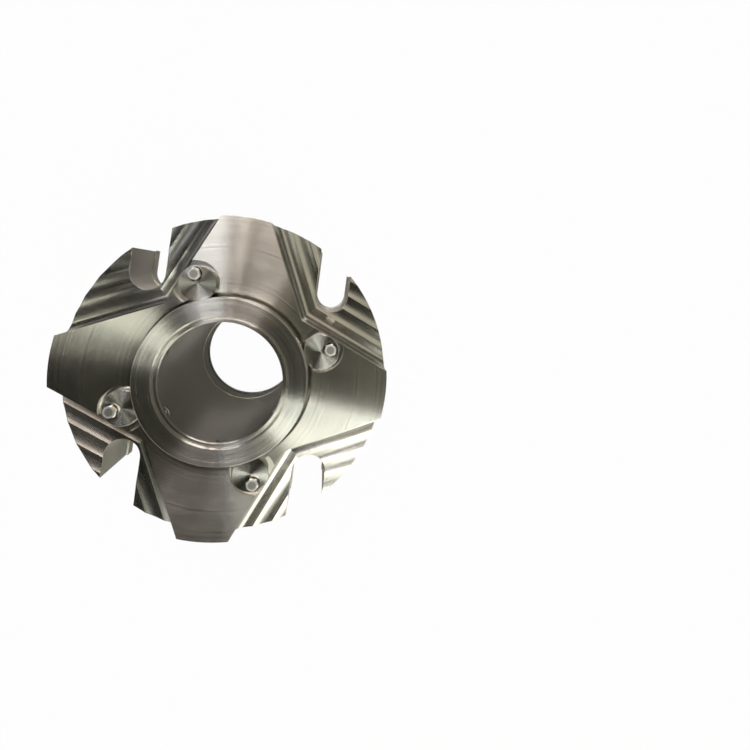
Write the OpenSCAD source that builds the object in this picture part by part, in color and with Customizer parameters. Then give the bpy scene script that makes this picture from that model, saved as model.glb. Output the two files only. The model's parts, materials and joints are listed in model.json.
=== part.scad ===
// Cartridge mechanical seal for a pump shaft, as one assembly of separate pieces.
// All lengths are millimetres and all angles are degrees.
// The origin is the centre of the gland's mounting face. +Z is the shaft's axis and points
// out of the pump, to the drive collar. The two arms with the ports lie along Y.

/* [Shaft and sleeve] */
// Diameter of the pump shaft
shaft_diameter = 80; // [74:1:82]
// Thickness of the sleeve's wall
sleeve_wall = 3.3; // [2.8:0.1:4]
// How far the sleeve reaches into the pump
sleeve_reach = 63; // [58:1:72]
// Thickness of the flange on the sleeve's pump end
sleeve_flange = 12; // [10:0.5:14]
// Depth of the relief in the middle of the sleeve's bore
bore_relief = 0.3; // [0.1:0.05:0.5]
// Plain bore left below the set screws
bore_land = 3; // [2:0.5:6]
// How far the sleeve's outer end sits below the collar's face
sleeve_recess = 0.5; // [0:0.1:1.5]

/* [Gland] */
// Outside diameter of the gland
gland_diameter = 224; // [216:1:240]
// Height from the mounting face to the face of the arms
gland_height = 74; // [72:1:84]
// How far the milled steps lie below the face of the arms
arm_drop = 18.5; // [15:0.5:22]
// Width of an arm where it meets the rim
arm_end_width = 34; // [28:1:40]
// Angle between an arm's edge and its middle line
arm_taper = 24.2; // [20:0.2:27]
// Corner radius of the cutter that mills the steps
cutter_radius = 6.2; // [4:0.1:8]
// Radius of the cutter's domed end, across its path
dome_radius = 14; // [11:0.5:20]
// Distance from one milled step to the next
step_pitch = 10.1; // [8:0.1:11]
// Depth of the recess that the collar turns in
recess_depth = 12; // [11:0.5:14]
// Gap between the collar and the wall of its recess
collar_gap = 2.9; // [2:0.1:3.5]
// Gap between the collar and the floor of its recess
collar_lift = 2; // [1:0.25:3]

/* [Bolt slots] */
// Width of a bolt slot
slot_width = 24.2; // [18:0.1:26]
// Diameter of the circle that the bolts stand on
bolt_circle = 184; // [178:1:196]
// Height of the narrow land at the back of a slot
slot_land = 9; // [5:0.5:14]
// How much narrower the land is, on each side
slot_step = 0.7; // [0.4:0.1:1.2]

/* [Drive collar] */
// Outside diameter of the collar
collar_diameter = 112.8; // [110:0.2:116]
// How far the collar stands above the arms
collar_stand = 12.5; // [11:0.5:16]
// Depth of the groove that the clips reach into
collar_groove = 3; // [2:0.25:4]
// Room above and below a clip in the groove
groove_room = 0.5; // [0.3:0.1:0.9]
// Chamfer at the collar's bore and on the sleeve's end
end_chamfer = 1; // [0.5:0.1:1.4]
// Thread diameter of the collar's set screws
set_screw_diameter = 6; // [5:1:8]
// Number of set screws round the collar
set_screw_count = 6; // [3:1:8]
// Angle of the first set screw from the X axis
set_screw_angle = 36; // [0:1:59]

/* [Setting clips] */
// Diameter of a setting clip
clip_diameter = 24.8; // [22:0.2:26]
// Thickness of a setting clip
clip_thickness = 5; // [4:0.5:6]
// How far a clip reaches into the collar's groove
clip_hold = 1; // [0.6:0.1:1.6]
// Distance from the clip's centre to its screw
clip_offset = 6.6; // [5.5:0.1:7.2]
// Angle of a clip from the middle line of its arm
clip_angle = 22.3; // [20:0.1:24]
// Depth of the pocket that holds a clip
pocket_depth = 3; // [2:0.25:4]
// Room between a clip and the wall of its pocket
pocket_room = 3.2; // [2.6:0.1:4]
// How far the pocket's centre lies outside the clip's
pocket_shift = 0.5; // [0:0.1:1.2]
// Angle that the pocket's centre is turned on, to let the clip swing
pocket_turn = 1.1; // [0.8:0.1:1.6]
// Edge break of a clip
clip_edge = 0.4; // [0.2:0.1:0.8]
// Thread diameter of a clip's screw
clip_screw_diameter = 5; // [4:0.5:6]
// Width across the flats of a clip screw's head
clip_screw_flats = 8; // [7:0.5:9]
// Height of a clip screw's head
clip_screw_head = 3.5; // [2.5:0.5:4]
// How deep a clip's screw goes into the gland
clip_screw_depth = 10; // [8:0.5:14]

/* [Seal faces] */
// Radial width of a rotating seal ring
rotary_width = 11.6; // [10.5:0.1:12]
// Height of a rotating seal ring
rotary_height = 12; // [10:0.5:13]
// Radial width of a floating seal ring
floating_width = 7.5; // [7:0.1:8]
// Length of a floating seal ring
floating_length = 16; // [14:0.5:17]
// Height of the lapped nose of a floating seal ring
nose_height = 2.5; // [1.5:0.25:3]
// Radial width of the lapped nose
nose_width = 4; // [3:0.25:5]
// Free way between a floating ring and the sleeve
floating_room = 2.7; // [2:0.1:3]
// Gap between the rotating seal rings and the wall round them
chamber_gap = 2; // [1.5:0.1:2.5]
// Height of the ring that carries the outer rotating seal ring
carrier_height = 8; // [7:0.5:9]
// Thread diameter of the carrier's screws
carrier_screw_diameter = 3; // [2.5:0.5:4]
// Number of the carrier's screws
carrier_screw_count = 3; // [3:1:4]
// Thickness of the snap ring under the carrier
snap_height = 1.2; // [0.8:0.1:1.6]
// Depth of the snap ring's groove
snap_groove = 1.2; // [0.8:0.1:1.6]
// How far the snap ring stands out of the sleeve
snap_stand = 2; // [1.5:0.1:3]
// Width of the gap in the snap ring
snap_gap = 6; // [4:0.5:9]

/* [Springs and pins] */
// Length of a spring as fitted
spring_length = 10; // [8.5:0.5:11]
// Number of springs behind each floating ring
spring_count = 6; // [4:2:10]
// Outside diameter of a spring
spring_diameter = 5.2; // [4:0.2:5.8]
// Thickness of the spring wire
spring_wire = 0.9; // [0.6:0.1:1.1]
// Turns in a spring
spring_turns = 4; // [3:1:6]
// Diameter of the drive pins and locking pins
pin_diameter = 3; // [2:0.25:3.5]
// Length of a drive pin
pin_length = 9; // [7:0.5:9.5]
// How deep a locking pin reaches into its floating ring
lock_pin_hold = 4; // [3:0.5:6]
// How far a floating ring can back off from its face
float_travel = 1.5; // [1:0.25:2.5]

/* [Insert and ports] */
// Radial thickness of the insert's tube round the floating ring
insert_wall = 6.2; // [5.5:0.1:7]
// Thickness of the insert's flange
insert_flange = 8; // [7:0.5:9]
// How far the insert's flange stands out from its tube
insert_rim = 8.5; // [8:0.5:10]
// Thread diameter of the insert's screws
insert_screw_diameter = 4; // [3:0.5:4.5]
// Number of screws that hold the insert
insert_screw_count = 6; // [4:1:8]
// How deep the insert's screws go into the gland
insert_screw_depth = 8; // [6:0.5:12]
// How far the insert's tube stops short of the seal faces
insert_back = 3; // [2.5:0.25:4]
// Thickness of the rubber ring under the insert's flange
insert_ring_section = 2; // [1.6:0.1:2]
// Gap between the insert's flange and the gasket
gasket_gap = 2; // [1:0.25:3]
// How deep the gasket is let into the gland
gasket_seat = 0.8; // [0.5:0.1:1.2]
// Thickness of the webs that carry the springs
web_thickness = 4; // [4:0.5:6]
// Outer radial width of the gasket on the mounting face
gasket_width = 7.5; // [5:0.5:8]
// Thickness of the gasket
gasket_thickness = 2.3; // [1.5:0.1:3]
// Tapping diameter of the two barrier fluid ports
port_diameter = 18.6; // [14:0.2:20]
// Depth of a port's thread
port_depth = 18; // [12:1:24]
// Diameter of the passage from a port to the chamber
passage_diameter = 10; // [6:0.5:12]

/* [Rubber rings] */
// Thickness of the ring between sleeve and shaft
shaft_ring_section = 3; // [2.4:0.1:3.2]
// Thickness of the rings inside the rotating seal rings
rotary_ring_section = 2.5; // [2:0.1:3]
// Thickness of the rings round the floating seal rings
floating_ring_section = 2.6; // [2:0.1:2.8]
// How far those rings lie in front of a floating ring's back
floating_ring_back = 5; // [4:0.5:7]
// Gap left between a rubber ring and the piece that slides in it
ring_gap = 0.2; // [0.1:0.05:0.3]

/* [Hidden] */
$fn = 96;
// Clearance of parts that slide together on one axis
slide_fit = 0.05;
// Clearance round pins, rings and other pieces that are dropped in
drop_fit = 0.25;
// A cut runs past the surface it opens by this much
past = 1;
// Small edge breaks on turned parts
edge = 0.6;
// Extra depth under pins and screws
tip_room = 0.6;
// Extra depth of a threaded hole past its screw
hole_room = 2;
// How far a sunk screw's end lies below the surface
sunk = 0.5;
// Room at each end of a spring
spring_seat = 0.05;
// Length of a set screw's tapered point
screw_point = 1;
// Depth of the cup in that point
cup_depth = 0.8;
// Depth of a set screw's socket
socket_depth = 4;
// Usual proportions of screws, as shares of the thread's diameter
head_share = 1.75;
head_socket_share = 0.95;
head_socket_depth = 0.5;
grub_socket_share = 0.58;
grub_socket_depth = 0.7;
cup_share = 0.4;

// Radii from the shaft outwards
shaft_r = shaft_diameter / 2;
sleeve_r = shaft_r + sleeve_wall;
rotary_in_r = sleeve_r + drop_fit;
rotary_r = rotary_in_r + rotary_width;
carrier_r = rotary_r - edge;
floating_in_r = sleeve_r + floating_room;
floating_r = floating_in_r + floating_width;
holder_r = floating_r + drop_fit;
chamber_r = rotary_r + chamber_gap;
insert_r = holder_r + insert_wall;
insert_flange_r = insert_r + insert_rim;
insert_screw_r = (insert_r + insert_flange_r) / 2;
gland_r = gland_diameter / 2;
collar_r = collar_diameter / 2;
recess_r = collar_r + collar_gap;
spring_circle_r = floating_in_r + floating_width / 2;
lock_pin_angle = 180 / spring_count;

// Levels along the shaft
gland_top = gland_height;
steps_z = gland_top - arm_drop;
recess_z = gland_top - recess_depth;
web_z = recess_z - web_thickness;
outer_face_z = web_z - spring_length - floating_length;
outer_rotary_z = outer_face_z - rotary_height;
carrier_z = outer_rotary_z - carrier_height;
sleeve_bottom = -sleeve_reach;
inner_rotary_z = sleeve_bottom + sleeve_flange;
inner_face_z = inner_rotary_z + rotary_height;
inner_web_z = inner_face_z + floating_length + spring_length;
insert_bottom = inner_face_z + insert_back;
collar_top = gland_top + collar_stand;
collar_bottom = recess_z + collar_lift;
sleeve_top = collar_top - sleeve_recess;
pocket_z = gland_top - pocket_depth;
clip_top = pocket_z + clip_thickness;
groove_bottom_z = pocket_z - groove_room;
groove_top_z = clip_top + groove_room;
set_screw_z = (groove_top_z + collar_top) / 2;

// Places of the setting clips
clip_r = clip_diameter / 2;
clip_place_r = collar_r - clip_hold + clip_r;
clip_screw_place_r = clip_place_r + clip_offset;
pocket_r = clip_r + pocket_room;
pocket_place_r = clip_place_r + pocket_shift;
pocket_angle = clip_angle + pocket_turn;

// Shape of the arms
arm_corner_x = sqrt(pow(gland_r, 2) - pow(arm_end_width / 2, 2));
arm_edge = arm_corner_x * sin(arm_taper) + arm_end_width / 2 * cos(arm_taper);
first_pass = arm_edge + cutter_radius;
slot_x = bolt_circle / 2 * cos(45);
slot_r = slot_width / 2;
rim_corner = gland_r * (sin(arm_taper) + cos(arm_taper)) * cos(45);
pass_count = ceil((rim_corner - first_pass) / step_pitch) + 1;
cutter_z = steps_z + cutter_radius;
reach = gland_r;

// Grooves for the rubber rings
shaft_ring_z = sleeve_bottom + sleeve_flange / 2;
shaft_ring_r = shaft_r + shaft_ring_section / 2 + ring_gap;
floating_ring_r = floating_r + ring_gap + floating_ring_section / 2;
floating_groove_r = floating_ring_r + floating_ring_section / 2 + ring_gap;
rotary_ring_r = sleeve_r + ring_gap + rotary_ring_section / 2;
rotary_groove_r = rotary_ring_r + rotary_ring_section / 2 + ring_gap;
insert_ring_r = (chamber_r + insert_screw_r - insert_screw_diameter / 2) / 2;
insert_head_r = insert_screw_diameter * head_share / 2;
gasket_in_r = insert_flange_r + gasket_gap;
drive_pin_r = (rotary_groove_r + rotary_r) / 2;
port_z = (carrier_z + outer_face_z) / 2;

steel = [0.74, 0.73, 0.70];
bright_steel = [0.82, 0.81, 0.78];
dark_steel = [0.55, 0.54, 0.52];
carbon = [0.2, 0.2, 0.22];
carbide = [0.32, 0.33, 0.36];
black_rubber = [0.08, 0.08, 0.08];
white_gasket = [0.9, 0.9, 0.86];

// A plain tube from its lower face, given its inner and outer radius.
module tube(inner, outer, height) {
    difference() {
        cylinder(r = outer, h = height);
        translate([0, 0, -past])
            cylinder(r = inner, h = height + 2 * past);
    }
}

// A rubber ring of round section, centred on its own plane.
module rubber_ring(middle_r, section) {
    rotate_extrude()
        translate([middle_r, 0])
            circle(d = section, $fn = 32);
}

// Copies of a piece round the shaft.
module around(count, first_angle = 0) {
    for (i = [0 : count - 1])
        rotate([0, 0, first_angle + i * 360 / count])
            children();
}

// The pass of a cutter at a distance from the shaft: along both arms, with the corner between.
function pass_corner(distance) = distance / (sin(arm_taper) + cos(arm_taper));

// Outline that the cutter leaves across its passes, drawn in distance and height: its corner runs
// along the arm's wall, and its domed end leaves a shallow trough and a low ridge at each pass.
module pass_profile() {
    translate([first_pass, cutter_z])
        circle(r = cutter_radius);
    intersection() {
        for (i = [0 : pass_count - 1])
            translate([first_pass + i * step_pitch, steps_z + dome_radius])
                circle(r = dome_radius);
        translate([first_pass, steps_z - past])
            square([reach, cutter_radius + past]);
    }
    translate([first_pass - cutter_radius, cutter_z])
        square([reach, gland_top - cutter_z + past]);
}

// One side of a milled quarter: the profile carried along an arm's edge, up to the diagonal.
module milled_side() {
    intersection() {
        rotate([0, 0, -arm_taper])
            translate([-reach, 0, 0])
                rotate([90, 0, 90])
                    linear_extrude(height = 3 * reach)
                        pass_profile();
        rotate([0, 0, -45])
            cube([2 * reach, 2 * reach, gland_top + 2 * past]);
    }
}

// Everything that is milled away in one quarter, with the cutter's round corner.
module milled_quarter() {
    corner = pass_corner(first_pass);
    milled_side();
    mirror([1, -1, 0])
        milled_side();
    translate([corner, corner, cutter_z]) {
        sphere(r = cutter_radius);
        cylinder(r = cutter_radius, h = gland_top - cutter_z + past);
    }
}

// One bolt slot, open to the rim along +Y, with its narrow land at the back.
module bolt_slot() {
    translate([slot_x, slot_x, slot_land]) {
        cylinder(r = slot_r, h = gland_top);
        translate([-slot_r, 0, 0])
            cube([2 * slot_r, gland_r, gland_top]);
    }
    translate([slot_x, slot_x, -past]) {
        cylinder(r = slot_r - slot_step, h = gland_top);
        translate([slot_step - slot_r, 0, 0])
            cube([2 * (slot_r - slot_step), gland_r, gland_top]);
    }
}

// The pocket for one setting clip, with the tapped hole of its screw.
module clip_pocket() {
    rotate([0, 0, pocket_angle])
        translate([pocket_place_r, 0, pocket_z])
            cylinder(r = pocket_r, h = pocket_depth + past);
    rotate([0, 0, clip_angle])
        translate([clip_screw_place_r, 0, pocket_z - clip_screw_depth - hole_room])
            cylinder(d = clip_screw_diameter + 2 * slide_fit,
                h = clip_screw_depth + hole_room + past);
}

// The hollow inside the gland, from the mounting face to the arms.
module gland_bores() {
    translate([0, 0, -past])
        cylinder(r = insert_flange_r + drop_fit, h = insert_flange + past);
    cylinder(r = chamber_r, h = outer_face_z + nose_height);
    cylinder(r = holder_r, h = web_z);
    cylinder(r = floating_in_r, h = gland_top);
    translate([0, 0, recess_z])
        cylinder(r = recess_r, h = recess_depth + past);
    translate([0, 0, web_z - spring_length - floating_ring_back - floating_ring_section])
        cylinder(r = floating_groove_r, h = floating_ring_section + 2 * drop_fit);
    around(2, lock_pin_angle)
        translate([spring_circle_r, 0, web_z - past])
            cylinder(d = pin_diameter + 2 * slide_fit, h = web_thickness + 2 * past);
}

// A tapped port in the end of an arm and its passage to the chamber.
module barrier_port() {
    translate([0, 0, port_z])
        rotate([-90, 0, 0]) {
            cylinder(d = passage_diameter, h = gland_r);
            translate([0, 0, gland_r - port_depth])
                cylinder(d = port_diameter, h = port_depth + past);
        }
}

module gland_plate() {
    color(steel)
        difference() {
            cylinder(r = gland_r, h = gland_top);
            gland_bores();
            around(4)
                milled_quarter();
            for (side = [0, 1])
                mirror([0, side, 0]) {
                    bolt_slot();
                    mirror([1, 0, 0])
                        bolt_slot();
                }
            around(4)
                clip_pocket();
            around(2, 0)
                barrier_port();
            around(insert_screw_count)
                translate([insert_screw_r, 0, insert_flange - past])
                    cylinder(d = insert_screw_diameter + 2 * slide_fit,
                        h = insert_screw_depth + hole_room + past);
            translate([0, 0, -past])
                difference() {
                    cylinder(r = gasket_in_r + gasket_width + drop_fit, h = gasket_seat + past);
                    cylinder(r = gasket_in_r - drop_fit, h = gasket_seat + past);
                }
        }
}

// The tube that carries the pump-side floating ring, let into the gland's back.
module gland_insert() {
    color(steel)
        difference() {
            union() {
                translate([0, 0, insert_bottom])
                    cylinder(r = insert_r, h = insert_flange - insert_bottom);
                cylinder(r = insert_flange_r, h = insert_flange);
            }
            translate([0, 0, insert_bottom - past])
                cylinder(r = holder_r, h = inner_web_z - insert_bottom + past);
            translate([0, 0, insert_bottom - past])
                cylinder(r = floating_in_r, h = insert_flange - insert_bottom + 2 * past);
            translate([0, 0, inner_web_z + web_thickness])
                cylinder(r = holder_r, h = insert_flange - inner_web_z);
            translate([0, 0, carrier_z - chamber_gap])
                cylinder(r = chamber_r, h = carrier_height + chamber_gap);
            translate([0, 0, inner_web_z - spring_length - floating_ring_back
                    - floating_ring_section])
                cylinder(r = floating_groove_r, h = floating_ring_section + 2 * drop_fit);
            around(2, lock_pin_angle)
                translate([spring_circle_r, 0, inner_web_z - past])
                    cylinder(d = pin_diameter + 2 * slide_fit, h = web_thickness + 2 * past);
            around(insert_screw_count)
                translate([insert_screw_r, 0, -past]) {
                    cylinder(d = insert_screw_diameter + 2 * drop_fit,
                        h = insert_flange + 2 * past);
                    cylinder(r = insert_head_r + drop_fit, h = insert_screw_diameter + past);
                }
            translate([0, 0, insert_flange - insert_ring_section])
                difference() {
                    cylinder(r = insert_ring_r + insert_ring_section / 2,
                        h = insert_ring_section + past);
                    cylinder(r = insert_ring_r - insert_ring_section / 2,
                        h = insert_ring_section + past);
                }
        }
}

// A socket head screw pointing up, with its head's face on its own plane.
module socket_screw(diameter, length) {
    difference() {
        union() {
            cylinder(d = diameter * head_share, h = diameter);
            cylinder(d = diameter, h = length);
        }
        translate([0, 0, -past])
            cylinder(d = diameter * head_socket_share, h = diameter * head_socket_depth + past,
                $fn = 6);
    }
}

module insert_screws() {
    color(dark_steel)
        around(insert_screw_count)
            translate([insert_screw_r, 0, 0])
                socket_screw(insert_screw_diameter, insert_flange + insert_screw_depth);
}

module insert_o_ring() {
    color(black_rubber)
        translate([0, 0, insert_flange - insert_ring_section / 2])
            rubber_ring(insert_ring_r, insert_ring_section - 2 * slide_fit);
}

module gland_gasket() {
    color(white_gasket)
        translate([0, 0, gasket_seat - gasket_thickness])
            tube(gasket_in_r, gasket_in_r + gasket_width, gasket_thickness);
}

// Hexagon head screws: shank in the gland, head on the clip.
module clip_screws() {
    color(bright_steel)
        around(4, clip_angle)
            translate([clip_screw_place_r, 0, 0]) {
                translate([0, 0, pocket_z - clip_screw_depth])
                    cylinder(d = clip_screw_diameter, h = clip_screw_depth + clip_thickness + past);
                translate([0, 0, clip_top])
                    intersection() {
                        cylinder(d = clip_screw_flats / cos(30), h = clip_screw_head, $fn = 6);
                        cylinder(r1 = clip_screw_flats / 2 + 2 * clip_screw_head,
                            r2 = clip_screw_flats / 2, h = clip_screw_head);
                    }
            }
}

// Locking pins that stop a floating ring from turning, set into a web.
module lock_pins(web_bottom) {
    color(dark_steel)
        around(2, lock_pin_angle)
            translate([spring_circle_r, 0, web_bottom - spring_length - lock_pin_hold])
                cylinder(d = pin_diameter, h = web_thickness + spring_length + lock_pin_hold);
}

module inner_lock_pins() {
    lock_pins(inner_web_z);
}

module outer_lock_pins() {
    lock_pins(web_z);
}

// Points of one coil spring: a small polygon carried along a helix.
spring_sides = 5;
turn_steps = 10;
function coil_point(step, side) =
    let (
        steps = spring_turns * turn_steps,
        around_angle = 360 * step / turn_steps,
        section_angle = 360 * side / spring_sides,
        middle_r = (spring_diameter - spring_wire) / 2,
        rise = (spring_length - spring_wire - 2 * spring_seat) * step / steps,
        point_r = middle_r + spring_wire / 2 * cos(section_angle)
    )
    [point_r * cos(around_angle), point_r * sin(around_angle),
        spring_wire / 2 + spring_seat + rise + spring_wire / 2 * sin(section_angle)];

module coil_spring() {
    steps = spring_turns * turn_steps;
    points = [for (i = [0 : steps]) for (j = [0 : spring_sides - 1]) coil_point(i, j)];
    walls = [for (i = [0 : steps - 1]) for (j = [0 : spring_sides - 1])
        let (
            k = (j + 1) % spring_sides,
            here = i * spring_sides,
            next = here + spring_sides
        )
        each [[here + j, next + j, next + k], [here + j, next + k, here + k]]];
    first_end = [for (j = [0 : spring_sides - 1]) j];
    last_end = [for (j = [spring_sides - 1 : -1 : 0]) steps * spring_sides + j];
    polyhedron(points = points, faces = concat(walls, [first_end, last_end]), convexity = 8);
}

module spring_set(bottom) {
    color(bright_steel)
        around(spring_count)
            translate([spring_circle_r, 0, bottom])
                coil_spring();
}

module inner_springs() {
    spring_set(inner_face_z + floating_length);
}

module outer_springs() {
    spring_set(outer_face_z + floating_length);
}

module face_o_ring(back_z) {
    color(black_rubber)
        translate([0, 0, back_z - floating_ring_back - floating_ring_section / 2 + drop_fit])
            rubber_ring(floating_ring_r, floating_ring_section);
}

module inner_face_o_ring() {
    face_o_ring(inner_face_z + floating_length);
}

module outer_face_o_ring() {
    face_o_ring(outer_face_z + floating_length);
}

// A seal ring that floats on its springs, with a lapped nose on its lower face.
module floating_ring(face_z) {
    nose_in_r = spring_circle_r - nose_width / 2;
    color(carbon)
        translate([0, 0, face_z])
            difference() {
                union() {
                    translate([0, 0, nose_height])
                        cylinder(r = floating_r, h = floating_length - nose_height);
                    cylinder(r = nose_in_r + nose_width, h = floating_length);
                }
                translate([0, 0, -past])
                    cylinder(r = floating_in_r, h = floating_length + 2 * past);
                translate([0, 0, -past])
                    cylinder(r = nose_in_r, h = nose_height + past);
                around(2, lock_pin_angle)
                    translate([spring_circle_r, 0, floating_length - lock_pin_hold - float_travel
                            - tip_room])
                        cylinder(d = pin_diameter + 4 * drop_fit,
                            h = lock_pin_hold + float_travel + tip_room + past);
            }
}

module inner_floating_ring() {
    floating_ring(inner_face_z);
}

module outer_floating_ring() {
    floating_ring(outer_face_z);
}

// The sleeve: a turned tube with a flange on its pump end.
module sleeve() {
    relief_top = set_screw_z - set_screw_diameter - bore_land;
    relief_bottom = inner_rotary_z + rotary_height;
    color(bright_steel)
        difference() {
            union() {
                translate([0, 0, sleeve_bottom])
                    cylinder(r = carrier_r, h = sleeve_flange);
                translate([0, 0, sleeve_bottom])
                    cylinder(r = sleeve_r, h = sleeve_top - sleeve_bottom - end_chamfer);
                translate([0, 0, sleeve_top - end_chamfer])
                    cylinder(r1 = sleeve_r, r2 = sleeve_r - end_chamfer, h = end_chamfer);
            }
            translate([0, 0, sleeve_bottom - past])
                cylinder(r = shaft_r, h = sleeve_top - sleeve_bottom + 2 * past);
            translate([0, 0, relief_bottom])
                cylinder(r = shaft_r + bore_relief, h = relief_top - relief_bottom);
            translate([0, 0, sleeve_top - edge])
                cylinder(r1 = shaft_r, r2 = shaft_r + edge, h = edge);
            translate([0, 0, sleeve_top])
                cylinder(r = shaft_r + edge, h = past);
            translate([0, 0, shaft_ring_z - shaft_ring_section / 2 - drop_fit])
                cylinder(r = shaft_ring_r + shaft_ring_section / 2 + ring_gap,
                    h = shaft_ring_section + 2 * drop_fit);
            around(set_screw_count, set_screw_angle)
                translate([0, 0, set_screw_z])
                    rotate([0, 90, 0])
                        translate([0, 0, shaft_r - past])
                            cylinder(d = set_screw_diameter + 2 * drop_fit,
                                h = sleeve_wall + 2 * past);
            translate([0, 0, carrier_z - snap_height])
                difference() {
                    cylinder(r = sleeve_r + past, h = snap_height);
                    translate([0, 0, -past])
                        cylinder(r = sleeve_r - snap_groove, h = snap_height + 2 * past);
                }
            around(2)
                translate([drive_pin_r, 0, inner_rotary_z - pin_length / 2])
                    cylinder(d = pin_diameter + 2 * slide_fit, h = pin_length);
        }
}

// Half section of the collar, turned round the shaft.
module collar_section() {
    bore_r = sleeve_r + slide_fit;
    groove_r = collar_r - collar_groove;
    polygon([
        [bore_r, collar_bottom],
        [collar_r - edge, collar_bottom],
        [collar_r, collar_bottom + edge],
        [collar_r, groove_bottom_z],
        [groove_r, groove_bottom_z],
        [groove_r, groove_top_z],
        [collar_r, groove_top_z],
        [collar_r, collar_top - edge],
        [collar_r - edge, collar_top],
        [bore_r + end_chamfer, collar_top],
        [bore_r, collar_top - end_chamfer]
    ]);
}

module drive_collar() {
    color(bright_steel)
        difference() {
            rotate_extrude()
                collar_section();
            around(set_screw_count, set_screw_angle)
                translate([0, 0, set_screw_z])
                    rotate([0, 90, 0])
                        translate([0, 0, sleeve_r - past])
                            cylinder(d = set_screw_diameter + 2 * slide_fit,
                                h = collar_r - sleeve_r + 2 * past);
        }
}

// Cup point set screws: through the collar and the sleeve's holes, down to the shaft.
module set_screws() {
    outer_end = collar_r - 2 * sunk;
    tip = shaft_r + drop_fit;
    color(dark_steel)
        around(set_screw_count, set_screw_angle)
            translate([0, 0, set_screw_z])
                rotate([0, 90, 0])
                    difference() {
                        translate([0, 0, tip])
                            union() {
                                cylinder(r1 = set_screw_diameter / 2 - screw_point,
                                    r2 = set_screw_diameter / 2, h = screw_point);
                                translate([0, 0, screw_point])
                                    cylinder(d = set_screw_diameter,
                                        h = outer_end - tip - screw_point);
                            }
                        translate([0, 0, outer_end - socket_depth])
                            cylinder(d = set_screw_diameter * grub_socket_share,
                                h = socket_depth + past, $fn = 6);
                        translate([0, 0, tip - past])
                            cylinder(d = set_screw_diameter * cup_share, h = cup_depth + past);
                    }
}

module shaft_o_ring() {
    color(black_rubber)
        translate([0, 0, shaft_ring_z])
            rubber_ring(shaft_ring_r, shaft_ring_section);
}

// A hard rotating ring with a groove in its bore and two holes for the drive pins.
module rotary_ring(bottom) {
    color(carbide)
        translate([0, 0, bottom])
            difference() {
                rotate_extrude()
                    polygon([
                        [rotary_in_r, 0],
                        [rotary_r - edge, 0],
                        [rotary_r, edge],
                        [rotary_r, rotary_height - edge],
                        [rotary_r - edge, rotary_height],
                        [rotary_in_r, rotary_height],
                        [rotary_in_r, rotary_height / 2 + rotary_ring_section / 2 + drop_fit],
                        [rotary_groove_r, rotary_height / 2 + rotary_ring_section / 2 + drop_fit],
                        [rotary_groove_r, rotary_height / 2 - rotary_ring_section / 2 - drop_fit],
                        [rotary_in_r, rotary_height / 2 - rotary_ring_section / 2 - drop_fit]
                    ]);
                around(2)
                    translate([drive_pin_r, 0, -past])
                        cylinder(d = pin_diameter + 2 * drop_fit,
                            h = pin_length / 2 + tip_room + past);
            }
}

module inner_rotary_ring() {
    rotary_ring(inner_rotary_z);
}

module outer_rotary_ring() {
    rotary_ring(outer_rotary_z);
}

module inner_rotary_o_ring() {
    color(black_rubber)
        translate([0, 0, inner_rotary_z + rotary_height / 2])
            rubber_ring(rotary_ring_r, rotary_ring_section);
}

module outer_rotary_o_ring() {
    color(black_rubber)
        translate([0, 0, outer_rotary_z + rotary_height / 2])
            rubber_ring(rotary_ring_r, rotary_ring_section);
}

// The ring on the sleeve that carries the outer rotating seal ring.
module ring_carrier() {
    color(steel)
        translate([0, 0, carrier_z])
            difference() {
                tube(sleeve_r + slide_fit, carrier_r, carrier_height);
                around(2)
                    translate([drive_pin_r, 0, carrier_height - pin_length / 2])
                        cylinder(d = pin_diameter + 2 * slide_fit, h = pin_length);
                around(carrier_screw_count, 45)
                    translate([0, 0, carrier_height / 2])
                        rotate([0, 90, 0])
                            translate([0, 0, sleeve_r - past])
                                cylinder(d = carrier_screw_diameter + 2 * slide_fit,
                                    h = carrier_r - sleeve_r + 2 * past);
            }
}

module carrier_screws() {
    color(dark_steel)
        around(carrier_screw_count, 45)
            translate([0, 0, carrier_z + carrier_height / 2])
                rotate([0, 90, 0])
                    difference() {
                        translate([0, 0, sleeve_r + 2 * slide_fit])
                            cylinder(d = carrier_screw_diameter,
                                h = carrier_r - sleeve_r - 2 * slide_fit - sunk);
                        translate([0, 0, carrier_r - sunk - carrier_screw_diameter
                                * grub_socket_depth])
                            cylinder(d = carrier_screw_diameter * grub_socket_share,
                                h = carrier_screw_diameter, $fn = 6);
                    }
}

// An open spring ring in the sleeve's groove, under the carrier.
module carrier_snap_ring() {
    color(dark_steel)
        translate([0, 0, carrier_z - snap_height + slide_fit])
            difference() {
                tube(sleeve_r - snap_groove + 2 * slide_fit, sleeve_r + snap_stand,
                    snap_height - 2 * slide_fit);
                translate([0, -snap_gap / 2, -past])
                    cube([sleeve_r + snap_stand + past, snap_gap, snap_height + 2 * past]);
            }
}

module drive_pins() {
    color(dark_steel)
        around(2) {
            translate([drive_pin_r, 0, inner_rotary_z - pin_length / 2 + slide_fit])
                cylinder(d = pin_diameter, h = pin_length);
            translate([drive_pin_r, 0, outer_rotary_z - pin_length / 2 + slide_fit])
                cylinder(d = pin_diameter, h = pin_length);
        }
}

// A round clip held off its centre: turned about its screw it leaves the collar's groove.
module setting_clip(turn) {
    color(bright_steel)
        rotate([0, 0, clip_angle + turn])
            difference() {
                translate([clip_place_r, 0, pocket_z])
                    rotate_extrude()
                        polygon([
                            [0, 0],
                            [clip_r - clip_edge, 0],
                            [clip_r, clip_edge],
                            [clip_r, clip_thickness - clip_edge],
                            [clip_r - clip_edge, clip_thickness],
                            [0, clip_thickness]
                        ]);
                translate([clip_screw_place_r, 0, pocket_z - past])
                    cylinder(d = clip_screw_diameter + 2 * slide_fit,
                        h = clip_thickness + 2 * past);
            }
}

module setting_clip_a() {
    setting_clip(0);
}

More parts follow.
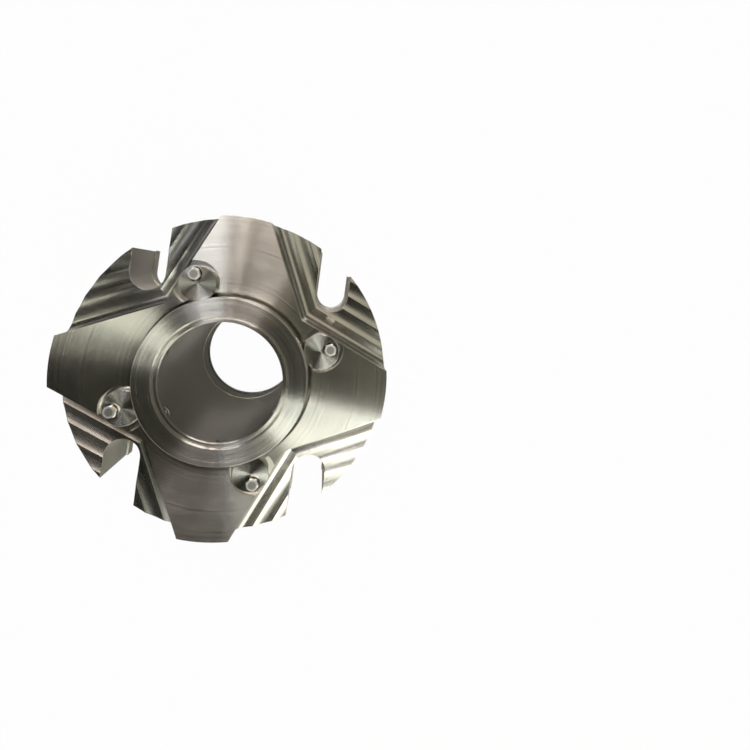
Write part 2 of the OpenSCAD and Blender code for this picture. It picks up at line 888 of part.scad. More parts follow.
module setting_clip_b() {
    setting_clip(90);
}

module setting_clip_c() {
    setting_clip(180);
}

module setting_clip_d() {
    setting_clip(270);
}

gland_plate();
gland_insert();
insert_screws();
insert_o_ring();
gland_gasket();
clip_screws();
inner_lock_pins();
outer_lock_pins();
inner_springs();
outer_springs();
inner_face_o_ring();
outer_face_o_ring();
inner_floating_ring();
outer_floating_ring();
sleeve();
drive_collar();
set_screws();
shaft_o_ring();
inner_rotary_ring();
outer_rotary_ring();
inner_rotary_o_ring();
outer_rotary_o_ring();
ring_carrier();
carrier_screws();
carrier_snap_ring();
drive_pins();
setting_clip_a();
setting_clip_b();
setting_clip_c();
setting_clip_d();
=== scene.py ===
# %% [markdown]
# A cartridge mechanical seal, dressed for a picture
#
# The seal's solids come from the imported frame. This file gives each of them its finish, adds the
# threads that a solid model leaves out, and sets a camera, a floor and a room whose bright panels
# are the only light. Blender works in metres here, and +Z is the axis of the pump's shaft.

import json
import math

import bpy
import numpy as np
from mathutils import Matrix, Vector


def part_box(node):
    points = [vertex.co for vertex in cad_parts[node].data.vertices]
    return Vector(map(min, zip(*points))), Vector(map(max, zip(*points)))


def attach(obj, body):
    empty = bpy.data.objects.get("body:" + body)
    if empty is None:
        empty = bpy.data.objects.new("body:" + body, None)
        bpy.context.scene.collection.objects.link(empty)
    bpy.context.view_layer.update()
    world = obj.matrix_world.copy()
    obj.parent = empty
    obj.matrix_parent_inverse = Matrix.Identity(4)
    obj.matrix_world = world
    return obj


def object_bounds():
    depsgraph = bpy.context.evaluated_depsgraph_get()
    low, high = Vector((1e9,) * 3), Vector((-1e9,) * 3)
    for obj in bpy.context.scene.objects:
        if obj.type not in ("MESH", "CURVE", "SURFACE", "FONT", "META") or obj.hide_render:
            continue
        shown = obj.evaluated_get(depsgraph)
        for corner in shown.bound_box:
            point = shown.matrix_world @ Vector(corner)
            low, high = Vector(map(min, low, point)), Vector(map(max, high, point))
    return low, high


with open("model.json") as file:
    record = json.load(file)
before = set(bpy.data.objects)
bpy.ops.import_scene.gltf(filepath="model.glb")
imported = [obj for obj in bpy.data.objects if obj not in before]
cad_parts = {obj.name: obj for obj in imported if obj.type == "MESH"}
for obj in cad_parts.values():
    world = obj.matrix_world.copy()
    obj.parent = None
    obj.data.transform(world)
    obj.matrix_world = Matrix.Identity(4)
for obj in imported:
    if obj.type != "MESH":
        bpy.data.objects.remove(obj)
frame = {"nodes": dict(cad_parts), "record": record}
nodes = frame["nodes"]
cad_low, cad_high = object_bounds()
print("solids:", len(nodes), "box from", tuple(cad_low), "to", tuple(cad_high))

# %% [markdown]
# The picture is taken from almost straight above, with a wide lens close to the part, so the far
# end of the bore looks much smaller than the near one. A camera could be aimed with a constraint at
# a target, but then its turn about its own line of sight is hard to set. Here it gets a matrix made
# of two turns. Its place and turns were worked out from the round edges of the collar and the ends
# of the four arms, and the lens is shifted because the part isn't in the middle of the frame.

# %% The camera
EYE = Vector((0.05888, 0.07607, 0.42271))
ROLL_DEG = 7.6
LEAN_DEG = 7.956
LENS_MM = 23.53
SENSOR_MM = 36.0
SHIFT = (-0.0251, -0.1264)
NEAREST, FURTHEST = 0.01, 20


def make_camera():
    """A camera that looks down: leaned about its own upright axis, then turned about the shaft."""
    data = bpy.data.cameras.new("camera")
    data.sensor_width = SENSOR_MM
    data.lens = LENS_MM
    data.shift_x, data.shift_y = SHIFT
    data.clip_start, data.clip_end = NEAREST, FURTHEST
    camera = bpy.data.objects.new("camera", data)
    bpy.context.scene.collection.objects.link(camera)
    turn = Matrix.Rotation(math.radians(ROLL_DEG), 4, "Z")
    lean = Matrix.Rotation(math.radians(-LEAN_DEG), 4, "Y")
    camera.matrix_world = Matrix.Translation(EYE) @ turn @ lean
    bpy.context.scene.camera = camera
    return camera


camera = make_camera()
bpy.context.scene.view_settings.view_transform = "Standard"
print("camera looks along", tuple(round(-v, 3) for v in camera.matrix_world.col[2][:3]))

# %% [markdown]
# Every finish below is a material made of nodes, worked out from the place of each point on the
# part. Nodes could be placed and joined by hand in Blender's editor. In a script that takes four
# lines for each node, so this small class wraps them: one call adds a node, feeds it numbers or
# other nodes' outputs, and gives its output back.

# %% A short way to write materials


class Graph:
    """A thin layer over a material's nodes: each call adds one node and returns its output."""

    def __init__(self, name):
        self.material = bpy.data.materials.new(name)
        self.material.use_nodes = True
        self.tree = self.material.node_tree
        self.shader = self.tree.nodes["Principled BSDF"]
        self.place = self.add("ShaderNodeTexCoord").outputs["Object"]

    def add(self, kind, **settings):
        """A new node with these settings."""
        node = self.tree.nodes.new(kind)
        for key, value in settings.items():
            setattr(node, key, value)
        return node

    def feed(self, socket, value):
        """Joins an output to a socket, or writes a plain value into it."""
        if isinstance(value, bpy.types.NodeSocket):
            self.tree.links.new(value, socket)
        else:
            socket.default_value = value

    def shade(self, values):
        """Feeds the shader's sockets, given by their names."""
        for name, value in values.items():
            self.feed(self.shader.inputs[name], value)

    def math(self, operation, a, b=0.0, c=0.0):
        """One sum on up to three numbers."""
        node = self.add("ShaderNodeMath", operation=operation)
        for socket, value in zip(node.inputs, (a, b, c)):
            self.feed(socket, value)
        return node.outputs[0]

    def plus(self, a, b):
        return self.math("ADD", a, b)

    def minus(self, a, b):
        return self.math("SUBTRACT", a, b)

    def times(self, a, b):
        return self.math("MULTIPLY", a, b)

    def ramp(self, value, low, high, start=0.0, end=1.0):
        """Goes straight from start to end while value goes from low to high, and stops there."""
        node = self.add("ShaderNodeMapRange")
        for socket, number in zip(node.inputs[:5], (value, low, high, start, end)):
            self.feed(socket, number)
        return node.outputs[0]

    def vector(self, x, y, z):
        """A vector from its three numbers."""
        node = self.add("ShaderNodeCombineXYZ")
        for socket, value in zip(node.inputs, (x, y, z)):
            self.feed(socket, value)
        return node.outputs[0]

    def parts(self, vector):
        """The three numbers of a vector."""
        node = self.add("ShaderNodeSeparateXYZ")
        self.feed(node.inputs[0], vector)
        return node.outputs

    def on_vectors(self, operation, *vectors):
        """One sum on vectors. A length comes out as a number, anything else as a vector."""
        node = self.add("ShaderNodeVectorMath", operation=operation)
        for socket, vector in zip(node.inputs, vectors):
            self.feed(socket, vector)
        return node.outputs["Value" if operation == "LENGTH" else "Vector"]

    def noise(self, vector, scale, detail, roughness):
        """Soft noise, mostly near 0.5."""
        node = self.add("ShaderNodeTexNoise")
        for name, value in (("Vector", vector), ("Scale", scale), ("Detail", detail),
                            ("Roughness", roughness)):
            self.feed(node.inputs[name], value)
        return node.outputs["Fac"]

    def blend(self, factor, a, b):
        """A vector that goes from a to b as factor goes from 0 to 1."""
        node = self.add("ShaderNodeMix", data_type="VECTOR")
        self.feed(node.inputs["Factor"], factor)
        self.feed(node.inputs[4], a)
        self.feed(node.inputs[5], b)
        return node.outputs[1]

    def tint(self, factor, a, b):
        """A colour that goes from a to b, each an output or (red, green, blue), by factor."""
        node = self.add("ShaderNodeMix", data_type="RGBA")
        self.feed(node.inputs["Factor"], factor)
        for socket, colour in zip(node.inputs[6:8], (a, b)):
            made = isinstance(colour, bpy.types.NodeSocket)
            self.feed(socket, colour if made else (*colour, 1))
        return node.outputs[2]

    def bump(self, height, distance, strength):
        """Shades the surface as if height lifted it by up to distance."""
        node = self.add("ShaderNodeBump")
        node.inputs["Strength"].default_value = strength
        node.inputs["Distance"].default_value = distance
        self.feed(node.inputs["Height"], height)
        self.shade({"Normal": node.outputs[0]})

    def normal(self):
        """The direction that the surface faces."""
        return self.add("ShaderNodeNewGeometry").outputs["Normal"]

    def break_edges(self, radius):
        """Shades sharp edges as if a file had rounded them by this radius."""
        node = self.add("ShaderNodeBevel", samples=4)
        node.inputs["Radius"].default_value = radius
        self.shade({"Normal": node.outputs[0]})


# %% [markdown]
# A cutting tool leaves marks on steel: fine grooves, broader bands where it was worn or reset, and
# over them the faint smudges of hands and cleaning. They could be painted on a picture that is
# wrapped round the part, but the marks all follow from the distance to an axis. So they are noise
# of that one number, which has no seams and stays sharp however near the camera comes.

# %% Distances and marks
BROAD_BANDS = 4
SMUDGE_SCALE = 38.0
RING_SOFTNESS = 0.0001


def from_axis(graph, centre=(0.0, 0.0)):
    """Distance from an upright axis, the level unit vector away from it, and the height."""
    x, y, z = graph.parts(graph.place)
    away = graph.vector(graph.minus(x, centre[0]), graph.minus(y, centre[1]), 0.0)
    return graph.on_vectors("LENGTH", away), graph.on_vectors("NORMALIZE", away), z


def grooves(graph, distance, spacing):
    """Noise of the distance alone, which changes about once in each spacing."""
    line = graph.math("DIVIDE", distance, spacing)
    return graph.noise(graph.vector(line, 0.0, 0.0), 1.0, detail=3.0, roughness=0.6)


def tool_marks(graph, along, spacing):
    """The mean of fine grooves and of bands BROAD_BANDS times as wide, stretched to 0 to 1."""
    fine = graph.times(grooves(graph, along, spacing), 0.5)
    broad = graph.times(grooves(graph, along, spacing * BROAD_BANDS), 0.5)
    return graph.ramp(graph.plus(fine, broad), 0.36, 0.64)


def smudges(graph):
    """Wide, faint patches, as hands and cleaning leave them on steel: 0 to 1."""
    patches = graph.noise(graph.place, SMUDGE_SCALE, detail=5.0, roughness=0.62)
    return graph.ramp(patches, 0.38, 0.68)


def ring(graph, distance, inner, outer):
    """1 between two distances and 0 elsewhere, with soft edges."""
    rise = graph.ramp(distance, inner - RING_SOFTNESS, inner + RING_SOFTNESS)
    fall = graph.ramp(distance, outer + RING_SOFTNESS, outer - RING_SOFTNESS)
    return graph.times(rise, fall)


# %% [markdown]
# Turned pieces, such as the collar and the sleeve, have fine grooves that run round the shaft. A
# groove spreads a reflection sideways, across itself, and hardly along itself. That is why a turned
# face shows bright fans that point at its centre. Real grooves are far too fine to model, and a
# bump of them would flicker. The shader has their effect built in, as anisotropy, and only needs to
# be told in which direction the reflection spreads. On a flat end it spreads away from the axis,
# and on a wall up and down. One formula gives both: the cross product of groove and normal.

# %% Turned steel
EDGE_BREAK = 0.0002
# Near black: the painted shade round the foot of each clip screw's head.
HEAD_SHADE_COLOUR = (0.06, 0.055, 0.05)
TURNED_ROUGHNESS = 0.23
TURNED_SMUDGE = 0.025


def round_groove(graph, away):
    """The level direction square to away, which runs round the axis."""
    x, y, _ = graph.parts(away)
    return graph.vector(graph.times(y, -1.0), x, 0.0)


def spread_across(graph, groove):
    """The direction across a groove, in the surface: the cross product of groove and normal."""
    return graph.on_vectors("NORMALIZE", graph.on_vectors("CROSS_PRODUCT", groove, graph.normal()))


def turned_steel(name, pale, dark, rough=TURNED_ROUGHNESS, spacing=0.0005, centre=(0.0, 0.0),
                 painted_shade_ring=None):
    """Steel from a lathe, with grooves round an axis in its colour and gloss."""
    graph = Graph(name)
    distance, away, z = from_axis(graph, centre)
    mark = tool_marks(graph, graph.plus(distance, z), spacing)
    colour = graph.tint(mark, dark, pale)
    # Where a ring is given, painted shade darkens the colour round the foot of a screw's head.
    if painted_shade_ring is not None:
        colour = graph.tint(painted_shade_ring(graph), colour, HEAD_SHADE_COLOUR)
    gloss = graph.ramp(mark, 0.0, 1.0, rough * 0.82, rough * 1.14)
    graph.shade({"Base Color": colour, "Metallic": 1.0, "Anisotropic": 1.0,
                 "Roughness": graph.plus(gloss, graph.times(smudges(graph), TURNED_SMUDGE)),
                 "Tangent": spread_across(graph, round_groove(graph, away))})
    graph.break_edges(EDGE_BREAK)
    return graph.material


TURNED = turned_steel("turned_steel", (0.710, 0.690, 0.640), (0.575, 0.555, 0.505))
print("turned steel is made of", len(TURNED.node_tree.nodes), "nodes")

# %% [markdown]
# The gland was first turned, so its arms carry round grooves, and then milled, so the steps between
# the arms carry straight ones along each arm's edge. The two could be two materials on two sets of
# faces, but the solid is one mesh, and the border between them would have to be found in it. The
# place tells them apart more simply: the milled faces look up, below the arms' face and outside the
# collar's recess. The clips' pockets count as milled too, and the clips cover most of them. The
# quarters are alike, so one quarter's direction, mirrored by the signs of x and y, serves all four.

# %% Gland steel


def corners_of(name):
    """All corner points of a solid, as rows of x, y and z."""
    return np.array([v.co[:] for v in nodes[name].data.vertices])


ARM_FACE_Z = float(corners_of("gland_plate")[:, 2].max())
ARM_TAPER = math.radians(24.2)
STEPS_LOWEST_Z = 0.05
STEPS_INNER_R = 0.0625
FACE_MARGIN = 0.0002
LEAST_LIFT = 0.05
TURNED_SPACING, MILLED_SPACING = 0.00045, 0.00035
GLAND_DARK, GLAND_PALE = (0.540, 0.515, 0.460), (0.690, 0.666, 0.612)
LEAST_ROUGHNESS, MOST_ROUGHNESS = 0.195, 0.25
GLAND_SMUDGE, MILLED_SHINE = 0.035, 0.04
print("the arms' face is %.1f mm above the mounting face" % (ARM_FACE_Z * 1000))


def is_milled(graph, distance, z):
    """1 on the milled steps and 0 elsewhere."""
    _, _, lift = graph.parts(graph.normal())
    below_face = graph.math("LESS_THAN", z, ARM_FACE_Z - FACE_MARGIN)
    faces_up = graph.math("GREATER_THAN", lift, LEAST_LIFT)
    outside = graph.math("GREATER_THAN", distance, STEPS_INNER_R)
    above = graph.math("GREATER_THAN", z, STEPS_LOWEST_Z)
    return graph.times(graph.times(below_face, faces_up), graph.times(outside, above))


def milled_groove(graph):
    """Direction of the cutter's passes: along the edge of the arm that is nearer."""
    x, y, _ = graph.parts(graph.place)
    sign_x, sign_y = graph.math("SIGN", x), graph.math("SIGN", y)
    near_x = graph.math("GREATER_THAN", graph.math("ABSOLUTE", x), graph.math("ABSOLUTE", y))
    along, aside = math.cos(ARM_TAPER), math.sin(ARM_TAPER)
    by_x = graph.vector(graph.times(sign_x, along), graph.times(sign_y, -aside), 0.0)
    by_y = graph.vector(graph.times(sign_x, -aside), graph.times(sign_y, along), 0.0)
    return graph.blend(near_x, by_y, by_x)


def across_passes(graph):
    """Distance square to the cutter's passes: the larger of |x| and |y| times the sine of the
    arms' taper, plus the smaller one times its cosine."""
    x, y, _ = graph.parts(graph.place)
    size_x, size_y = graph.math("ABSOLUTE", x), graph.math("ABSOLUTE", y)
    larger, smaller = graph.math("MAXIMUM", size_x, size_y), graph.math("MINIMUM", size_x, size_y)
    return graph.plus(graph.times(larger, math.sin(ARM_TAPER)),
                      graph.times(smaller, math.cos(ARM_TAPER)))


def gland_steel():
    """Turned steel on the arms and round the rim, and milled steel on the steps."""
    graph = Graph("gland_steel")
    distance, away, z = from_axis(graph)
    milled = is_milled(graph, distance, z)
    turned = graph.minus(1.0, milled)
    groove = graph.blend(milled, round_groove(graph, away), milled_groove(graph))
    turned_mark = tool_marks(graph, graph.plus(distance, z), TURNED_SPACING)
    milled_mark = tool_marks(graph, across_passes(graph), MILLED_SPACING)
    mark = graph.plus(graph.times(turned_mark, turned), graph.times(milled_mark, milled))
    gloss = graph.ramp(mark, 0.0, 1.0, LEAST_ROUGHNESS, MOST_ROUGHNESS)
    handled = graph.minus(graph.times(smudges(graph), GLAND_SMUDGE),
                          graph.times(milled, MILLED_SHINE))
    graph.shade({"Base Color": graph.tint(mark, GLAND_DARK, GLAND_PALE),
                 "Roughness": graph.plus(gloss, handled), "Metallic": 1.0, "Anisotropic": 1.0,
                 "Tangent": spread_across(graph, groove)})
    graph.break_edges(EDGE_BREAK)
    return graph.material


GLAND = gland_steel()
print("gland steel is made of", len(GLAND.node_tree.nodes), "nodes")

# %% [markdown]
# The pieces inside and the small ones have plainer finishes: set screws, drawn wire, lapped carbon
# and carbide, a fibre gasket and smooth black rubber. Each could have a material of its own kind.
# At their size in the picture a fine even grain is all that shows, so one recipe with other
# colours, gloss and grain serves them all.

# %% Small finishes
GRAIN_HEIGHT = 0.000005
FIBRE_HEIGHT = 0.00004
BUMP_STRENGTH = 0.3


def plain_finish(name, pale, dark, rough, metallic, grain, height=GRAIN_HEIGHT):
    """A finish with a fine even grain in its colour, its gloss and its surface."""
    graph = Graph(name)
    spots = graph.noise(graph.place, grain, detail=4.0, roughness=0.6)
    graph.shade({"Base Color": graph.tint(graph.ramp(spots, 0.35, 0.65), dark, pale),
                 "Roughness": graph.ramp(spots, 0.3, 0.7, rough * 0.85, rough * 1.15),
                 "Metallic": metallic})
    graph.bump(spots, height, BUMP_STRENGTH)
    return graph.material


SET_SCREW = plain_finish("set_screw_steel", (0.62, 0.61, 0.58), (0.45, 0.44, 0.42),
                         rough=0.22, metallic=1.0, grain=2500)
SPRING = plain_finish("spring_steel", (0.60, 0.60, 0.58), (0.50, 0.50, 0.48),
                      rough=0.25, metallic=1.0, grain=4000)
GASKET = plain_finish("gasket_white", (0.82, 0.81, 0.76), (0.74, 0.73, 0.68),
                      rough=0.75, metallic=0.0, grain=900, height=FIBRE_HEIGHT)
CARBON = plain_finish("seal_carbon", (0.055, 0.055, 0.060), (0.035, 0.035, 0.040),
                      rough=0.38, metallic=0.0, grain=1800)
CARBIDE = plain_finish("seal_carbide", (0.130, 0.130, 0.140), (0.090, 0.090, 0.100),
                       rough=0.18, metallic=0.0, grain=2200)
RUBBER = plain_finish("black_rubber", (0.024, 0.024, 0.024), (0.014, 0.014, 0.014),
                      rough=0.45, metallic=0.0, grain=1200)
print("a small finish is made of", len(RUBBER.node_tree.nodes), "nodes")

# %% [markdown]
# Each setting clip is held by a hexagon head screw. Its head has a turned top: a dull middle inside
# a bright ring. That could be a material for each head, with the head's own centre. But the four
# heads are alike and stand a quarter turn apart round the shaft, so the material folds them into
# one: it takes the angle round the shaft, less the first head's, and wraps it into one quarter.

# %% Screw heads
HEAD_SLICE = 0.001
TOP_FROM, TOP_TO = 0.0004, 0.0002
DULL_R, BRIGHT_R = 0.0028, 0.0037
DULL_SOFTNESS = 0.0003
HEAD_PALE, HEAD_DARK = (0.66, 0.64, 0.60), (0.40, 0.385, 0.35)
HEAD_ROUGHNESS, DULL_ADDS, RING_ADDS = 0.26, 0.10, 0.22
HEAD_EDGE_BREAK = 0.0005


def head_places():
    """Radius, angle and top height of the clip screws, measured on their solids."""
    points = corners_of("clip_screws")
    top = points[:, 2].max()
    upper = points[points[:, 2] > top - HEAD_SLICE]
    first = upper[(upper[:, 0] > 0) & (upper[:, 1] > 0)]
    middle = (first[:, :2].min(axis=0) + first[:, :2].max(axis=0)) / 2
    return float(np.hypot(*middle)), float(math.atan2(middle[1], middle[0])), float(top)


HEAD_R, HEAD_ANGLE, HEAD_TOP = head_places()
print("clip screws stand %.1f mm from the shaft's axis, at %.1f degrees"
      % (HEAD_R * 1000, math.degrees(HEAD_ANGLE)))


def from_heads(graph):
    """Distance from the nearest of the four screws' own axes, and the height."""
    x, y, _ = graph.parts(graph.place)
    distance, _, z = from_axis(graph)
    angle = graph.minus(graph.math("ARCTAN2", y, x), HEAD_ANGLE)
    folded = graph.math("WRAP", angle, math.pi / 4, -math.pi / 4)
    dx = graph.minus(graph.times(distance, graph.math("COSINE", folded)), HEAD_R)
    dy = graph.times(distance, graph.math("SINE", folded))
    return graph.math("SQRT", graph.plus(graph.times(dx, dx), graph.times(dy, dy))), z


def head_steel():
    """Steel with a dull middle and a bright, evenly scattering ring on the top of each head."""
    graph = Graph("screw_steel")
    distance, z = from_heads(graph)
    on_top = graph.ramp(z, HEAD_TOP - TOP_FROM, HEAD_TOP - TOP_TO)
    dull = graph.times(on_top, graph.ramp(distance, DULL_R, DULL_R - DULL_SOFTNESS))
    bright = graph.times(on_top, ring(graph, distance, DULL_R, BRIGHT_R))
    rough = graph.plus(graph.times(dull, DULL_ADDS), HEAD_ROUGHNESS)
    graph.shade({"Base Color": graph.tint(dull, HEAD_PALE, HEAD_DARK), "Metallic": 1.0,
                 "Roughness": graph.plus(rough, graph.times(bright, RING_ADDS))})
    graph.break_edges(HEAD_EDGE_BREAK)
    return graph.material


SCREW = head_steel()

# %% [markdown]
# Each solid gets the finish that its record names. The setting clips are turned round their own
# middles, and each has a dark ring of painted shade round the foot of its screw's head. They could
# share one material only if it knew all four middles, and a clip also swings away from its place.
# So each clip gets a material of its own, centred where its solid is.

# %% Giving each solid its finish
# Inner and outer distance from the screw's axis of the painted shade round the foot of its head.
HEAD_SHADE_FROM, HEAD_SHADE_TO = 0.0036, 0.0049
CLIP_PALE, CLIP_DARK = (0.700, 0.680, 0.628), (0.610, 0.588, 0.530)
FINISHES = {"gland_steel": GLAND, "turned_steel": TURNED, "screw_steel": SCREW,
            "set_screw_steel": SET_SCREW, "spring_steel": SPRING, "gasket_white": GASKET,
            "seal_carbon": CARBON, "seal_carbide": CARBIDE, "black_rubber": RUBBER}

slot_of = {part["node"]: part["material_slot"] for part in frame["record"]["subparts"]}


def shade_round_head(graph):
    """Painted shade: a dark ring on the clip round the foot of the screw's head, just outside its
    flats.
    """
    distance, _ = from_heads(graph)
    return ring(graph, distance, HEAD_SHADE_FROM, HEAD_SHADE_TO)


def clip_finish(node):
    """Turned steel whose grooves run round the clip's own middle."""
    low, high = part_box(node)
    middle = (low + high) / 2
    return turned_steel("clip_steel_" + node[-1], CLIP_PALE, CLIP_DARK, rough=0.18,
                        spacing=0.00016, centre=(middle.x, middle.y), painted_shade_ring=shade_round_head)


for name, piece in nodes.items():
    finish = clip_finish(name) if name.startswith("setting_clip") else FINISHES[slot_of[name]]
    piece.data.materials.clear()
    piece.data.materials.append(finish)
print("finished", len(nodes), "solids with", len(bpy.data.materials), "materials")

# %% [markdown]
# The two barrier fluid ports are threaded. A solid model leaves threads out. A thread could be a
# bump in the port's material, but a bump has no outline, and the mouth of the port shows one. So
# each port gets a real ridge that winds up its wall: a triangle carried along a helix.

# %% Threads in the ports
# The port's radius, depth and height above the mounting face are those of the solid.
PORT_RADIUS = 0.0093
PORT_DEPTH = 0.018
PORT_HEIGHT = 0.022
GLAND_RADIUS = cad_high.x
THREAD_PITCH = 0.0018
THREAD_RISE = 0.0009
THREAD_ROOT = 0.0001
THREAD_CLEAR = 0.002
STEPS_PER_TURN = 64


def enclosed_volume(points, quads):
    """Volume inside a closed mesh: a sixth of the sum of p0 . (p1 x p2) over its triangles."""
    triangles = np.concatenate([quads[:, [0, 1, 2]], quads[:, [0, 2, 3]]])
    p0, p1, p2 = (points[triangles[:, k]] for k in range(3))
    return float((p0 * np.cross(p1, p2)).sum() / 6)


def port_thread(name, side):
    """A triangle carried along a helix, on the wall of the port at the +Y (1) or -Y (-1) end.

    After t turns a corner of the triangle is at angle 2 pi t round the port, at the corner's own
    radius, and (t + lift) pitches up from the port's floor. The two root corners lie just inside
    the wall, nine tenths of a pitch apart, and the crest stands THREAD_RISE off the wall. In the
    first and last turn the crest sinks into the wall, as the end of a cut thread does.
    """
    turns = int((PORT_DEPTH - THREAD_CLEAR) / THREAD_PITCH)
    t = np.linspace(0.0, turns, turns * STEPS_PER_TURN + 1)[:, None]
    fade = np.clip(np.minimum(t, turns - t), 0.0, 1.0)
    root = PORT_RADIUS + THREAD_ROOT
    radius = root - np.array([[0.0, THREAD_RISE + THREAD_ROOT, 0.0]]) * fade
    lift = np.array([[0.05, 0.5, 0.95]])
    depth = PORT_DEPTH - (t + lift) * THREAD_PITCH
    angle = 2 * np.pi * t
    points = np.stack([radius * np.cos(angle), side * (GLAND_RADIUS - depth),
                       PORT_HEIGHT + radius * np.sin(angle)], axis=-1).reshape(-1, 3)
    step, corner = np.meshgrid(np.arange(len(t) - 1), np.arange(3), indexing="ij")
    here, beside = 3 * step + corner, 3 * step + (corner + 1) % 3
    quads = np.stack([here, beside, beside + 3, here + 3], axis=-1).reshape(-1, 4)
    last = len(points) - 1
    caps = np.array([[2, 1, 0], [last - 2, last - 1, last]])
    if enclosed_volume(points, quads) < 0:
        quads, caps = quads[:, ::-1], caps[:, ::-1]
    mesh = bpy.data.meshes.new(name)
    mesh.from_pydata(points.tolist(), [], quads.tolist() + caps.tolist())
    mesh.update()
    mesh.materials.append(GLAND)
    thread = bpy.data.objects.new(name, mesh)
    bpy.context.scene.collection.objects.link(thread)
    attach(thread, "gland")
    print(name, "has", len(mesh.polygons), "faces and holds",
          round(enclosed_volume(points, quads) * 1e9), "cubic millimetres")


port_thread("port_thread_back", 1)
port_thread("port_thread_front", -1)

# %% [markdown]
# The seal stands on the end of its sleeve, on a white floor. A floor lit to full white by lamps
# would throw all that light back at the steel, which would lose its contrast. So the floor is a
# plain grey paint that, where the camera looks at it, also shines a little by itself. It comes out
# as white as the paper in a product picture, and still takes the seal's shadow.

# %% The floor
FLOOR_SIZE = 6.0
FLOOR_DROP = 0.0001
FLOOR_GLOW = 0.98
FLOOR_MIRRORED = 0.05
FLOOR_COLOUR = (0.36, 0.355, 0.335, 1)
FLOOR_ROUGHNESS = 0.9


def floor_white():
    """Matt paint mixed with a glow: much of it for the camera's rays, a little in mirrors."""
    graph = Graph("floor_white")
    graph.shade({"Base Color": FLOOR_COLOUR, "Roughness": FLOOR_ROUGHNESS})
    rays = graph.add("ShaderNodeLightPath")
    straight = graph.times(rays.outputs["Is Camera Ray"], FLOOR_GLOW)
    mirrored = graph.times(rays.outputs["Is Glossy Ray"], FLOOR_MIRRORED)
    mix = graph.add("ShaderNodeMixShader")
    graph.feed(mix.inputs[0], graph.math("MAXIMUM", straight, mirrored))
    graph.feed(mix.inputs[1], graph.shader.outputs[0])
    graph.feed(mix.inputs[2], graph.add("ShaderNodeEmission").outputs[0])
    graph.feed(graph.tree.nodes["Material Output"].inputs["Surface"], mix.outputs[0])
    return graph.material


def make_floor():
    """One square just under the seal."""
    half = FLOOR_SIZE / 2
    level = cad_low.z - FLOOR_DROP
    ends = [(-half, -half), (half, -half), (half, half), (-half, half)]
    mesh = bpy.data.meshes.new("floor")
    mesh.from_pydata([(x, y, level) for x, y in ends], [], [(0, 1, 2, 3)])
    mesh.materials.append(floor_white())
    floor = bpy.data.objects.new("floor", mesh)
    bpy.context.scene.collection.objects.link(floor)
    print("floor lies at %.1f mm" % (level * 1000))


make_floor()

# %% [markdown]
# A metal part shows its surroundings more than its own colour. Lamps in the scene would make small
# hard glints, where a studio's large soft boxes make wide ones. So there are no lamps: the world
# itself is painted as a room. It is dark, with bright panels overhead, and the round grooves draw
# each panel out into a pair of fans, one on each side of the shaft.
#
# Which panel makes which fan? Take the level plane under the room and mark each direction by its
# (x, y). A level mirror at the middle of the part would show the camera the point APEX. A panel
# whose direction lies at some angle round APEX makes a fan at just that angle round the shaft. So
# the panels are given as pieces of rings round APEX: from one angle to another, and from a near
# distance to a far one. The angle sets the fan's place, and the distance sets which side of the
# part, and which slopes, it lights most.

# %% The room
CEILING_COLOUR = (0.012, 0.012, 0.010)
WALL_COLOUR = (0.34, 0.33, 0.315)
WALL_TOP, CEILING_START = 0.10, 0.30
BACKGROUND_WHITE = (1.0, 1.0, 1.0)
APEX = (-0.1636, -0.2113)
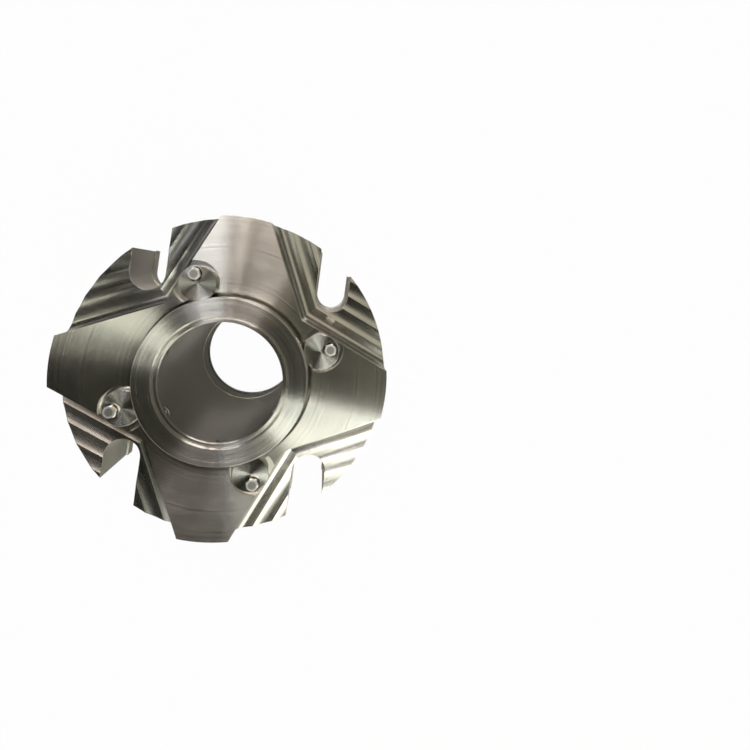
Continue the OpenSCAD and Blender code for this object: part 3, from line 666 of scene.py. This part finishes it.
# Angles round APEX in degrees, distances from it, strength and colour of each panel.
PANELS = [
    ((-78, -56), (0.45, 0.85), 1.1, (1.00, 0.99, 0.87)),
    ((-56, -25), (0.50, 0.88), 2.8, (1.00, 0.99, 0.87)),
    ((-41, -25), (0.22, 0.52), 3.9, (0.96, 1.00, 0.93)),
    ((-25, -8), (0.22, 0.52), 1.1, (0.96, 1.00, 0.95)),
    ((-25, -8), (0.52, 0.82), 9.5, (0.96, 1.00, 0.93)),
    ((-8, 57), (0.54, 0.90), 0.8, (1.00, 0.98, 0.80)),
    ((57, 97), (0.40, 0.95), 0.8, (1.00, 0.86, 0.72)),
    ((66, 85), (0.72, 1.04), 7.6, (1.00, 0.94, 0.92)),
    ((89.5, 92), (0.60, 1.02), 14.0, (1.00, 0.94, 0.90)),
    ((96.5, 114), (0.50, 0.84), 8.8, (0.97, 0.97, 1.00)),
    ((112, 124), (0.22, 0.52), 1.5, (0.94, 0.94, 1.00)),
    ((142, 160), (0.22, 0.52), 2.3, (0.98, 1.00, 0.86)),
    ((160, 175), (0.52, 0.82), 1.2, (1.00, 0.98, 0.80)),
]
EDGE_DEG = 0.7
EDGE_DISTANCE = 0.03


class RoomGraph(Graph):
    """The same helpers for the world's nodes, where the place is a direction."""

    def __init__(self, world):
        world.use_nodes = True
        self.tree = world.node_tree
        self.place = self.add("ShaderNodeTexCoord").outputs["Generated"]


def between(room, value, low, high, soft):
    """1 where value is between low and high, and 0 outside, with soft edges."""
    rise = room.ramp(value, low - soft, low + soft)
    fall = room.ramp(value, high - soft, high + soft)
    return room.minus(rise, fall)


def panel_light(room, angle, distance, panel):
    """The light of one panel in every direction: its colour and strength inside, black outside."""
    (start, end), (near, far), strength, colour = panel
    inside = room.times(between(room, angle, start, end, EDGE_DEG),
                        between(room, distance, near, far, EDGE_DISTANCE))
    shade = room.add("ShaderNodeVectorMath", operation="SCALE")
    room.feed(shade.inputs[0], colour)
    room.feed(shade.inputs["Scale"], room.times(inside, strength))
    return shade.outputs[0]


def make_room():
    """Dark walls and ceiling, the panels, and white behind the part for the camera's own rays."""
    world = bpy.data.worlds.new("room")
    bpy.context.scene.world = world
    room = RoomGraph(world)
    x, y, z = room.parts(room.place)
    dx, dy = room.minus(x, APEX[0]), room.minus(y, APEX[1])
    angle = room.times(room.math("ARCTAN2", dy, dx), 180 / math.pi)
    distance = room.math("SQRT", room.plus(room.times(dx, dx), room.times(dy, dy)))
    light = room.blend(room.ramp(z, WALL_TOP, CEILING_START), WALL_COLOUR, CEILING_COLOUR)
    for panel in PANELS:
        light = room.on_vectors("ADD", light, panel_light(room, angle, distance, panel))
    rays = room.add("ShaderNodeLightPath")
    seen = room.blend(rays.outputs["Is Camera Ray"], light, BACKGROUND_WHITE)
    room.feed(room.tree.nodes["Background"].inputs["Color"], seen)
    print("the room has", len(PANELS), "panels")


make_room()
